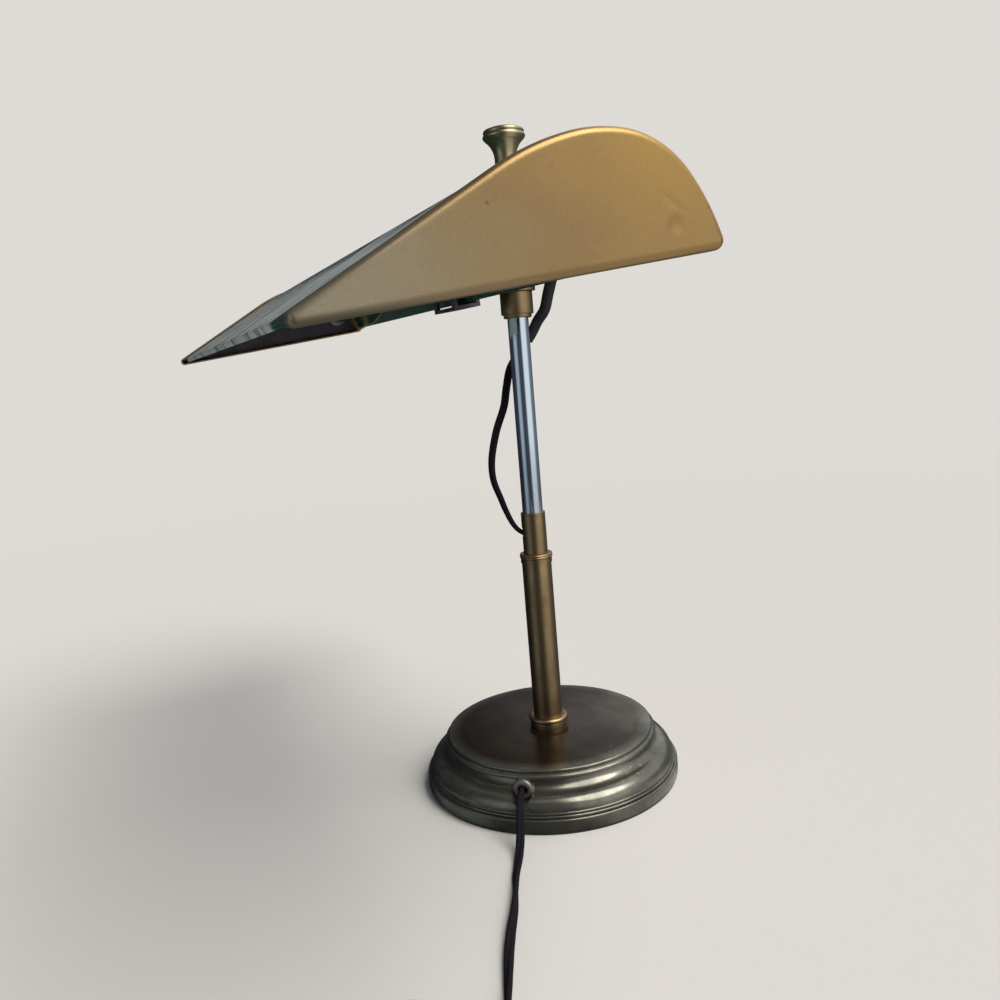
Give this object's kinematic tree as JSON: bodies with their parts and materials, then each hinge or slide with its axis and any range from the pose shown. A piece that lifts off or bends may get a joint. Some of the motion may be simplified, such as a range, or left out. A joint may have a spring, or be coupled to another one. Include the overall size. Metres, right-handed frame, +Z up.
{
  "type": "desk lamp",
  "caption": "Desk lamp with a long bent green glass shade that tilts on a telescoping, turning stem, on a round weighted base.",
  "frame": {"origin": "centre of the base, on the table", "axes": "+Z up along the stem; the shade's length along X; the shade's front edge towards -Y"},
  "size_m": [0.5669, 0.3173, 0.4085],
  "materials": {
    "bronze_patina": "dark bronze patina, satin, worn at the edges",
    "iron": "rough casting",
    "steel": "plain steel",
    "felt": "green felt",
    "aged_brass": "brass, tarnished brown, satin",
    "brass_fittings": "plain turned brass",
    "pewter": "dark pewter grey",
    "nickel": "bright nickel plate, scuffed low down",
    "rubber": "black rubber",
    "cloth_flex": "charcoal woven cloth flex",
    "bronze_lacquer": "satin bronze lacquer",
    "green_glass": "green glass, glossy, with pale residue",
    "black_plastic": "black moulding",
    "opal_glass": "opal white glass"
  },
  "bodies": {
    "base": {"base_shell": "bronze_patina", "base_weight": "iron", "closing_plate": "steel", "base_felt": "felt", "foot_collar": "aged_brass", "stem_nipple": "brass_fittings", "nipple_nut": "steel", "nipple_washer": "steel", "tube_plug": "brass_fittings", "outer_tube": "aged_brass", "tube_ring": "aged_brass", "outlet_bushing": "pewter", "cord_lead": "cloth_flex", "cord_coil": "cloth_flex", "cord_tail": "cloth_flex", "coil_tie": "rubber", "plug_body": "black_plastic", "plug_pins": "brass_fittings"},
    "slider": {"friction_bush": "brass_fittings"},
    "mast": {"inner_sleeve": "aged_brass", "retaining_ring": "steel", "plated_tube": "nickel", "head_collar": "aged_brass", "head_post": "brass_fittings", "arm_bracket": "aged_brass", "post_spacer": "aged_brass", "hinge_pin": "steel", "hinge_nut": "steel", "strain_relief": "rubber", "loop_cord": "cloth_flex"},
    "knob": {"clamp_knob": "aged_brass"},
    "shade": {"shade_bracket": "bronze_patina", "end_plate_right": "bronze_lacquer", "end_plate_left": "bronze_lacquer", "shade_glass": "green_glass", "spine_tube": "steel", "spine_flanges": "steel", "glass_clips": "bronze_lacquer", "lamp_block": "black_plastic", "block_cover": "black_plastic", "cover_screws": "brass_fittings", "lampholders": "black_plastic", "screw_shells": "brass_fittings", "bulb_caps": "brass_fittings", "bulb_right": "opal_glass", "bulb_left": "opal_glass"},
    "key": {"switch_key": "black_plastic"}
  },
  "joints": [
    {"name": "height_slide", "type": "slide", "parent": "base", "child": "slider", "axis": [0, 0, 1], "range_m": [-0.005, 0.06]},
    {"name": "stem_swivel", "type": "hinge", "parent": "slider", "child": "mast", "pos_m": [0, 0, 0.16], "axis": [0, 0, 1], "range_deg": [-160, 160]},
    {"name": "knob_turn", "type": "hinge", "parent": "mast", "child": "knob", "pos_m": [0, 0, 0.39], "axis": [0, 0, 1], "range_deg": [-180, 180]},
    {"name": "shade_tilt", "type": "hinge", "parent": "mast", "child": "shade", "pos_m": [0, -0.02, 0.318], "axis": [-1, 0, 0], "range_deg": [-25, 45]},
    {"name": "switch_turn", "type": "hinge", "parent": "shade", "child": "key", "pos_m": [0, -0.10068, 0.31924], "axis": [0, -0.9934, -0.1149], "range_deg": [0, 90]}
  ]
}
